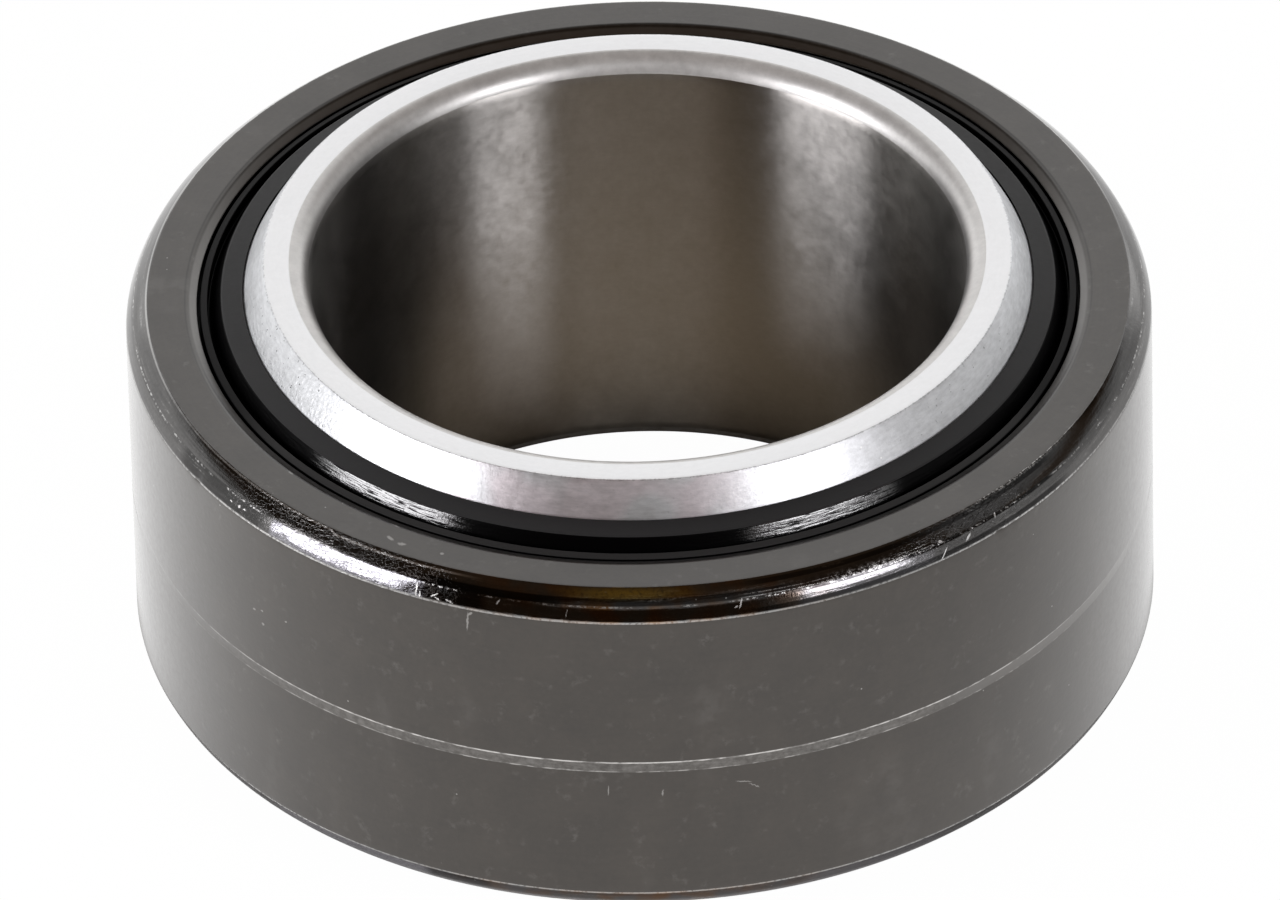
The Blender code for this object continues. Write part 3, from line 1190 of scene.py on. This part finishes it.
    def outline(self) -> list[Corner | Sweep]:
        """The half section, from the upper face's rim down the outside and back up the raceway."""
        rim, ridge, foot = self.rim, self.ridge, self.foot
        chamfer = [
            Corner(rim.radius - 0.15, rim.height),
            rim,
            *crowned((rim.radius, rim.height), (ridge.radius, ridge.height), self.crown, 4),
            ridge,
            *crowned((ridge.radius, ridge.height), (foot.radius, foot.height), self.crown, 5),
            foot,
            Corner(foot.radius, foot.height - 0.20),
            Corner(foot.radius, foot.height - 0.70),
        ]
        top = self.line_height + self.line_width / 2
        bottom = self.line_height - self.line_width / 2
        floor_radius = self.outside_radius - self.line_depth
        line = [
            Corner(self.outside_radius, top),
            Corner(floor_radius, top - 0.05),
            Corner(floor_radius, bottom + 0.05),
            Corner(self.outside_radius, bottom),
        ]
        groove_top = self.half_width - self.land_depth
        groove_bottom = groove_top - self.groove_width
        groove_radius = self.land_radius + self.groove_depth
        raceway_end = math.sqrt(self.raceway_radius**2 - groove_bottom**2)
        inside = [
            Corner(groove_radius, groove_bottom, 0.05, 2),
            Corner(groove_radius, groove_top, 0.05, 2),
            Corner(self.land_radius, groove_top, 0.03, 2),
            Corner(self.land_radius, self.half_width - self.land_chamfer[1], 0.05, 3),
            Corner(self.land_radius + self.land_chamfer[0], self.half_width, 0.12, 4),
        ]
        lower_raceway = Corner(raceway_end, -groove_bottom)
        return [
            *chamfer,
            *line,
            *mirrored(chamfer),
            *mirrored(inside),
            lower_raceway,
            Sweep(groove_bottom, 16),
            *inside,
        ]

    def build(self) -> bpy.types.Object:
        """The ring, dressed and riding on the outer body."""
        opening = self.split_width / self.outside_radius
        ring = Lathe("outer_ring_turned", 720).turn(self.outline(), self.split_turn, opening)
        edges = (self.rim, self.ridge, self.foot)
        worn = [Corner(edge.radius, side * edge.height) for edge in edges for side in (1, -1)]
        roughen(ring, worn, *self.wear)
        knock(ring, self.nicks)
        finish_shape(ring)
        ring.data.materials.append(self.satin.build(self))
        ring.data.materials.append(self.glossy.build(self))
        assign(ring, self._finish_at)
        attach(ring, "outer")
        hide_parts("outer_ring")
        return ring

    def _finish_at(self, radius: float, height: float) -> int:
        """Number of the finish at a place: glossy on chamfers and seal seats, satin elsewhere."""
        down, inside_rim = self.face_margins
        inside_wall, below_foot = self.wall_margins
        on_face = height > self.half_width - down and radius < self.rim.radius - inside_rim
        on_wall = radius > self.outside_radius - inside_wall and height < self.chamfer_foot - below_foot
        return 0 if on_face or on_wall else 1


@dataclass
class InnerRing:
    """The bright ring: a ball outside, a straight bore inside.

    Attributes:
        edge_radial, edge_axial: Size of the bore's elliptical edge.
        edge_crease: Angle at which that edge leaves the face, in degrees.
        face_margin: How far below the face's height its finish goes.
        ball_margin: How far inside the face's outer edge the ball's finish goes.
        edge_share: Share of the bore's edge that has the edge's own finish.
    """

    half_width: float
    bore_radius: float = 15.0
    ball_radius: float = 20.35
    edge_radial: float = 0.95
    edge_axial: float = 1.20
    edge_crease: float = 9.0
    edge_steps: int = 12
    face_margin: float = 0.002
    ball_margin: float = 0.04
    edge_share: float = 0.64
    face: BrightSteel = BrightSteel(
        "ground_face", (0.85, 0.85, 0.86), 0.38, 0.0, Grain.ROUND_FACE, 0.0016,
        streak=0.04, blotch=0.07, worn_edge=Corner(17.12, 11.0),
    )
    edge: BrightSteel = BrightSteel(
        "rounded_edge", (0.71, 0.70, 0.685), 0.37, 0.0, Grain.ROUND_WALL, 0.0012,
        streak=0.06, blotch=0.16, metallic=0.50, gloom=0.9,
    )
    ball: BrightSteel = BrightSteel(
        "ground_ball", (0.79, 0.80, 0.82), 0.46, 0.50, Grain.ROUND_WALL, 0.0060,
        streak=0.22, blotch=0.10, pitted=0.034, blush=(0.82, 0.76, 0.79), worn_edge=Corner(17.12, 11.0),
    )
    bore: BrightSteel = BrightSteel(
        "ground_bore", (0.62, 0.60, 0.575), 0.33, 1.0, Grain.ROUND_WALL, 0.0006,
        edge_tint=0.4, streak=0.05, blotch=0.12, gloom=1.0,
    )

    @property
    def face_radius(self) -> float:
        """Radius of the flat face's outer edge."""
        return math.sqrt(self.ball_radius**2 - self.half_width**2)

    def outline(self) -> list[Corner | Sweep]:
        """The half section, from the lower face's outer edge up the ball and down the bore."""
        edge = []
        first = math.radians(self.edge_crease)
        for step in range(self.edge_steps + 1):
            angle = first + (math.pi / 2 - first) * step / self.edge_steps
            inward = (1 - math.sin(angle)) / (1 - math.sin(first))
            down = 1 - math.cos(angle) / math.cos(first)
            radius = self.bore_radius + self.edge_radial * inward
            edge.append(Corner(radius, self.half_width - self.edge_axial * down))
        return [
            Corner(self.face_radius, -self.half_width, 0.025, 2),
            Sweep(self.half_width, 56, 0.025),
            *edge,
            *mirrored(edge),
        ]

    def build(self) -> bpy.types.Object:
        """The ring, dressed and riding on the inner body."""
        ring = Lathe("inner_ring_ground", 512).turn(self.outline())
        finish_shape(ring)
        for finish in (self.face, self.edge, self.ball, self.bore):
            ring.data.materials.append(finish.build())
        assign(ring, self._finish_at)
        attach(ring, "inner")
        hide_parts("inner_ring")
        return ring

    def _finish_at(self, radius: float, height: float) -> int:
        """Number of the finish at a place: face, rounded edge, ball or bore."""
        if height > self.half_width - self.face_margin:
            return 0
        if radius > self.face_radius - self.ball_margin:
            return 2
        return 3 if height < self.half_width - self.edge_axial * self.edge_share else 1


@dataclass
class SlidingLiner:
    """The thin sliding layer between the ball and the raceway."""

    half_height: float
    inside_radius: float = 20.41
    outside_radius: float = 20.91

    def build(self) -> bpy.types.Object:
        """The layer, dressed and riding on the liner's body."""
        outer_end = math.sqrt(self.outside_radius**2 - self.half_height**2)
        inner_end = math.sqrt(self.inside_radius**2 - self.half_height**2)
        outline = [
            Corner(outer_end, self.half_height),
            Sweep(-self.half_height, 24),
            Corner(inner_end, -self.half_height),
            Sweep(self.half_height, 24),
        ]
        layer = Lathe("sliding_layer_bonded", 256).turn(outline)
        finish_shape(layer)
        layer.data.materials.append(SlidingLayer().build())
        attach(layer, "liner")
        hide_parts("sliding_liner")
        return layer


@dataclass
class Seal:
    """A moulded seal: bead in the groove, rim, trough, and a lip on the ball.

    Attributes:
        rim_drop: How far the rim lies below the outer ring's face.
        rim_slope: Depth of the slope at the rim's outside.
        lip_rise: Height of the lip's tip above the outer ring's face.
        lip_fall: How far the lip's top slopes down outwards.
        lip_flare: How far the lip's outer wall leans out.
        foot_rise, foot_reach: Height and reach of the slope where that wall meets the trough.
        seat_gap: Gap between the bead and its groove.
        touch: Gap between the lips and the ball.
        relief: Gap between the ball and the seal's inside, off the lips.
    """

    side: Side
    half_width: float
    ball_radius: float = 20.35
    groove_radius: float = 21.12
    groove_top: float = 7.9
    groove_bottom: float = 6.2
    rim_radius: float = 20.07
    rim_width: float = 0.34
    rim_drop: float = 0.15
    rim_slope: float = 0.10
    trough_depth: float = 0.70
    lip_radius: float = 19.10
    lip_rise: float = 0.47
    lip_fall: float = 0.18
    lip_flare: float = 0.42
    foot_rise: float = 0.12
    foot_reach: float = 0.10
    seat_gap: float = 0.05
    touch: float = 0.075
    relief: float = 0.31
    finish: BlackRubber = field(default_factory=BlackRubber)

    def on_ball(self, height: float, gap: float) -> float:
        """Radius, at a height, of a surface that lies a gap outside the ball."""
        return math.sqrt((self.ball_radius + gap) ** 2 - height**2)

    def outline(self) -> list[Corner | Sweep]:
        """The upper seal's half section, from its rim down the bead and back up the lip."""
        rim_top = self.half_width - self.rim_drop
        trough = self.half_width - self.trough_depth
        tip = self.half_width + self.lip_rise
        bead_top = self.groove_top - self.seat_gap
        bead_bottom = self.groove_bottom + self.seat_gap
        bead_radius = self.groove_radius - self.seat_gap
        second_tip = bead_bottom + (self.groove_top - self.groove_bottom) / 4
        return [
            Corner(self.rim_radius, rim_top - self.rim_slope, 0.06),
            Corner(self.rim_radius, bead_top, 0.03, 2),
            Corner(bead_radius, bead_top, 0.05, 2),
            Corner(bead_radius, bead_bottom, 0.05, 2),
            Corner(self.on_ball(bead_bottom, self.relief), bead_bottom),
            Corner(self.on_ball(second_tip, self.touch), second_tip, 0.03, 2),
            Corner(self.on_ball(bead_top, self.relief), bead_top, 0.05, 2),
            Corner(self.on_ball(trough, self.relief), trough, 0.05, 2),
            Corner(self.on_ball(tip, self.touch), tip, 0.03),
            Corner(self.lip_radius, tip - self.lip_fall, 0.10, 5),
            Corner(self.lip_radius + self.lip_flare, trough + self.foot_rise, 0.10, 4),
            Corner(self.lip_radius + self.lip_flare + self.foot_reach, trough, 0.05, 3),
            Corner(self.rim_radius - self.rim_width, trough, 0.04, 3),
            Corner(self.rim_radius - self.rim_width, rim_top, 0.06),
        ]

    def build(self) -> bpy.types.Object:
        """The seal, dressed and riding on the outer body."""
        outline = self.outline() if self.side is Side.UPPER else mirrored(self.outline())
        name = self.side.name.lower() + "_seal"
        seal = Lathe(name + "_moulded", 512).turn(outline)
        finish_shape(seal)
        seal.data.materials.append(self.finish.build_lip())
        seal.data.materials.append(self.finish.build_trough(self))
        assign(seal, self._finish_at)
        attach(seal, "outer")
        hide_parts(name)
        return seal

    def _finish_at(self, radius: float, height: float) -> int:
        """Number of the finish at a place: the lip's, or outside it the trough's."""
        return 0 if radius < self.lip_radius + 0.01 else 1


# Surroundings


@dataclass(frozen=True)
class SoftBox:
    """A rectangular soft box that faces the bearing. Sizes are in metres."""

    name: str
    turn: float
    elevation: float
    distance: float
    width: float
    height: float
    brightness: float
    tint: Colour = (0.98, 0.97, 1.0)

    def build(self) -> bpy.types.Object:
        """The lamp; its brightness is what a mirror would show of it, where 1 is white."""
        power = 4 * self.width * self.height * self.brightness
        bpy.ops.object.light_add(type="AREA")
        lamp = bpy.context.object
        lamp.name = self.name
        lamp.data.shape = "RECTANGLE"
        lamp.data.size = self.width
        lamp.data.size_y = self.height
        lamp.data.energy = power
        lamp.data.color = self.tint
        level = self.distance * math.cos(math.radians(self.elevation))
        place = place_at(self.turn, level, self.distance * math.sin(math.radians(self.elevation)))
        lamp.location = place
        lamp.rotation_mode = "QUATERNION"
        lamp.rotation_quaternion = (-place).to_track_quat("-Z", "Y")
        return lamp


@dataclass(frozen=True)
class Card:
    """A soft-edged pale panel on the dark room's wall, seen from the bearing.

    Attributes:
        turn: Middle of the panel, in degrees from the camera's side.
        reach: How far it goes to each side of its middle, in degrees.
        low: Elevation of its lower edge, in degrees.
        high: Elevation of its upper edge, in degrees.
        level: Its brightness, where 1 is white.
        softness: How far its edges fade to each side, in degrees.
    """

    turn: float
    reach: float
    low: float
    high: float
    level: float
    softness: float = 7.0

    def shine(self, graph: Graph, outward: Signal, z: Signal) -> Signal:
        """Its light in a direction.

        Args:
            graph: The world's Graph.
            outward: The level part of the direction, with length 1.
            z: The direction's height.

        Returns:
            Its brightness there.
        """
        middle = tuple(place_at(self.turn, 1.0, 0.0))
        across = graph.vector_math("DOT_PRODUCT", outward, middle, output="Value")
        soft = self.softness
        sides = across.rise(self._cosine(self.reach + soft), self._cosine(self.reach - soft))
        bottom = z.rise(self._sine(self.low - soft), self._sine(self.low + soft))
        top = z.fall(self._sine(self.high - soft), self._sine(self.high + soft))
        return sides * bottom * top * self.level

    @staticmethod
    def _cosine(angle: float) -> float:
        """Cosine of an angle in degrees."""
        return math.cos(math.radians(angle))

    @staticmethod
    def _sine(angle: float) -> float:
        """Sine of an angle in degrees."""
        return math.sin(math.radians(angle))


@dataclass(frozen=True)
class Studio:
    """Pale floor, a dark warm room with a few pale panels, and two soft boxes. Lengths are in metres.

    Attributes:
        room_tint: Colour of the room's light between the panels.
        room_level, ceiling_level: Its brightness at the sides and overhead.
        ceiling: Heights of a direction, from 0 to 1, between which the ceiling begins.
        tint_fade: Brightness of the panels over which the room's tint gives way to white.
        camera_share: Share of plain white in the floor as the camera sees it.
        camera_gain: What is added to that white's strength.
        gloss_share, gloss_level: Share and strength of that white in polished metal.
        right_dimming, right_side: How much dimmer that gets over a range of X.
        shelter: Radii between which the bearing's shadow ends.
        bore_floor_shadow: Colour of the painted shadow on the floor inside the bore, as polished metal
            shows it.
        bore_fade, bore_dimming: Radii over which that colour darkens outwards, and by how much.
        bore_edge: Radii between which the floor inside the bore ends.
    """

    floor_height: float
    floor_radius: float = 3.0
    floor_colour: Colour = (0.92, 0.92, 0.92)
    room_tint: Colour = (1.0, 0.66, 0.42)
    room_level: float = 0.045
    ceiling_level: float = 0.09
    ceiling: tuple[float, float] = (0.70, 0.85)
    tint_fade: tuple[float, float] = (0.0, 0.25)
    cards: tuple[Card, ...] = (
        Card(178.0, 40.0, -4.0, 55.0, 1.07),
        Card(90.0, 60.0, -12.0, 19.0, 0.62),
        Card(-112.0, 33.0, -12.0, 24.0, 1.12),
        Card(8.0, 26.0, 32.0, 50.0, 0.47),
        Card(95.0, 18.0, 28.0, 50.0, 0.30),
    )
    camera_share: float = 0.97
    camera_gain: float = 0.015
    gloss_share: float = 0.80
    gloss_level: float = 1.42
    right_dimming: float = 0.36
    right_side: tuple[float, float] = (0.012, 0.050)
    shelter: tuple[float, float] = (0.0236, 0.0252)
    bore_floor_shadow: Colour = (0.27, 0.215, 0.155)
    bore_fade: tuple[float, float] = (0.006, 0.0130)
    bore_dimming: float = 0.98
    bore_edge: tuple[float, float] = (0.0155, 0.0165)
    boxes: tuple[SoftBox, ...] = (
        SoftBox("left_soft_box", -66.0, 18.0, 0.60, 0.31, 0.30, 5.8),
        SoftBox("right_soft_box", 44.0, 25.0, 0.60, 0.225, 0.22, 6.1),
    )

    def build(self) -> None:
        """Makes the floor, the world and the lamps."""
        bpy.ops.object.select_all(action="DESELECT")
        bpy.ops.mesh.primitive_circle_add(
            vertices=96, radius=self.floor_radius, fill_type="NGON", location=(0, 0, self.floor_height)
        )
        floor = bpy.context.object
        floor.name = "floor"
        floor.data.materials.append(self._floor_finish())
        self._world()
        for box in self.boxes:
            box.build()

    def _floor_finish(self) -> bpy.types.Material:
        """Pale matt floor, white to the camera and to polished metal outside the bearing's shadow, with a
        painted dark warm shadow inside the bore as polished metal shows it.
        """
        material, graph = new_material("pale_floor")
        camera = graph.add("ShaderNodeLightPath", None, None, "Is Camera Ray")
        gloss = camera.sibling("Is Glossy Ray")
        place = graph.add("ShaderNodeTexCoord", None, None, "Object")
        radius = graph.vector_math("LENGTH", place, output="Value")
        outside = radius.rise(*self.shelter)
        inside = radius.fall(*self.bore_edge)
        # Painted shadow: inside the bore, polished metal sees the floor dark and warm, darker towards the
        # bore's wall.
        fade = radius.rise(*self.bore_fade) * self.bore_dimming
        shade_colour = graph.shaded(self.bore_floor_shadow, 1.0 - fade)
        glow = graph.mix(camera | outside, shade_colour, WHITE)
        across = graph.add("ShaderNodeSeparateXYZ", None, {0: place})
        dim = across.rise(*self.right_side) * self.right_dimming
        strength = 1.0 + camera * self.camera_gain + gloss * outside * (self.gloss_level - 1.0 - dim)
        share = camera * self.camera_share + gloss * (outside * self.gloss_share | inside)
        matt = graph.add("ShaderNodeBsdfDiffuse", None, {"Color": self.floor_colour})
        white = graph.add("ShaderNodeEmission", None, {"Color": glow, "Strength": strength})
        seen = graph.add("ShaderNodeMixShader", None, {0: share, 1: matt, 2: white})
        graph.add("ShaderNodeOutputMaterial", None, {"Surface": seen})
        return material

    def _world(self) -> None:
        """The dark room with its panels, white to the camera."""
        world = bpy.data.worlds.new("studio")
        world.use_nodes = True
        bpy.context.scene.world = world
        graph = Graph(world.node_tree)
        direction = graph.add("ShaderNodeTexCoord", None, None, "Generated")
        level = graph.vector_math("MULTIPLY", direction, (1.0, 1.0, 0.0))
        outward = graph.vector_math("NORMALIZE", level)
        z = graph.add("ShaderNodeSeparateXYZ", None, {0: direction}).sibling("Z")
        shine = self.cards[0].shine(graph, outward, z)
        for card in self.cards[1:]:
            shine = shine + card.shine(graph, outward, z)
        dark = z.rise(*self.ceiling) * (self.ceiling_level - self.room_level) + self.room_level
        colour = graph.mix(shine.rise(*self.tint_fade), self.room_tint, WHITE)
        ray = graph.add("ShaderNodeLightPath", None, None, "Is Camera Ray")
        light = graph.add("ShaderNodeBackground", None, {"Color": colour, "Strength": dark + shine})
        white = graph.add("ShaderNodeBackground", None, {"Color": WHITE, "Strength": 1.0})
        seen = graph.add("ShaderNodeMixShader", None, {0: ray, 1: light, 2: white})
        graph.add("ShaderNodeOutputWorld", None, {"Surface": seen})


@dataclass(frozen=True)
class Viewpoint:
    """The photograph's camera, found from the ellipses of the rings. Lengths are in metres."""

    distance: float = 1.009
    elevation: float = 37.0
    roll: float = -1.364
    pixels_per_mm: float = 21.73
    centre: tuple[float, float] = (641.9, 446.1)
    picture: tuple[int, int] = (1280, 900)
    sensor: float = 36.0
    near_limit: float = 0.05

    def build(self) -> bpy.types.Object:
        """The camera, set as the scene's own."""
        elevation, roll = math.radians(self.elevation), math.radians(self.roll)
        forward = Vector((0.0, math.cos(elevation), -math.sin(elevation)))
        level, upward = Vector((1.0, 0.0, 0.0)), Vector((0.0, math.sin(elevation), math.cos(elevation)))
        right = level * math.cos(roll) + upward * math.sin(roll)
        up = upward * math.cos(roll) - level * math.sin(roll)
        bpy.ops.object.camera_add()
        camera = bpy.context.object
        camera.name = "camera"
        turned = Matrix((right, up, -forward)).transposed().to_4x4()
        camera.matrix_world = Matrix.Translation(-forward * self.distance) @ turned
        width, height = self.picture
        reach = self.pixels_per_mm / METRES_PER_MM * self.distance
        camera.data.sensor_width = self.sensor
        camera.data.lens = reach * self.sensor / width
        camera.data.shift_x = (width / 2 - self.centre[0]) / width
        camera.data.shift_y = (self.centre[1] - height / 2) / width
        camera.data.clip_start = self.near_limit
        bpy.context.scene.camera = camera
        return camera


def report(piece: bpy.types.Object) -> None:
    """Logs a finished piece's size."""
    triangles = sum(len(polygon.vertices) - 2 for polygon in piece.data.polygons)
    size = ", ".join(f"{side / METRES_PER_MM:.2f}" for side in piece.dimensions)
    LOG.info("%s: %d triangles, %s mm", piece.name, triangles, size)


def main() -> None:
    """Builds and dresses the bearing, and sets it in the studio."""
    logging.basicConfig(level=logging.INFO, format="%(name)s: %(message)s")
    nodes = ("outer_ring", "inner_ring", "sliding_liner")
    outer_box, inner_box, liner_box = (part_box(node)[1] / METRES_PER_MM for node in nodes)
    Viewpoint().build()
    pieces = [
        OuterRing(outer_box.x, outer_box.z),
        InnerRing(inner_box.z),
        SlidingLiner(liner_box.z),
        Seal(Side.UPPER, outer_box.z),
        Seal(Side.LOWER, outer_box.z),
    ]
    for piece in pieces:
        report(piece.build())
    Studio(-inner_box.z * METRES_PER_MM).build()
    bpy.context.scene.view_settings.view_transform = "Standard"


if __name__ == "__main__":
    main()
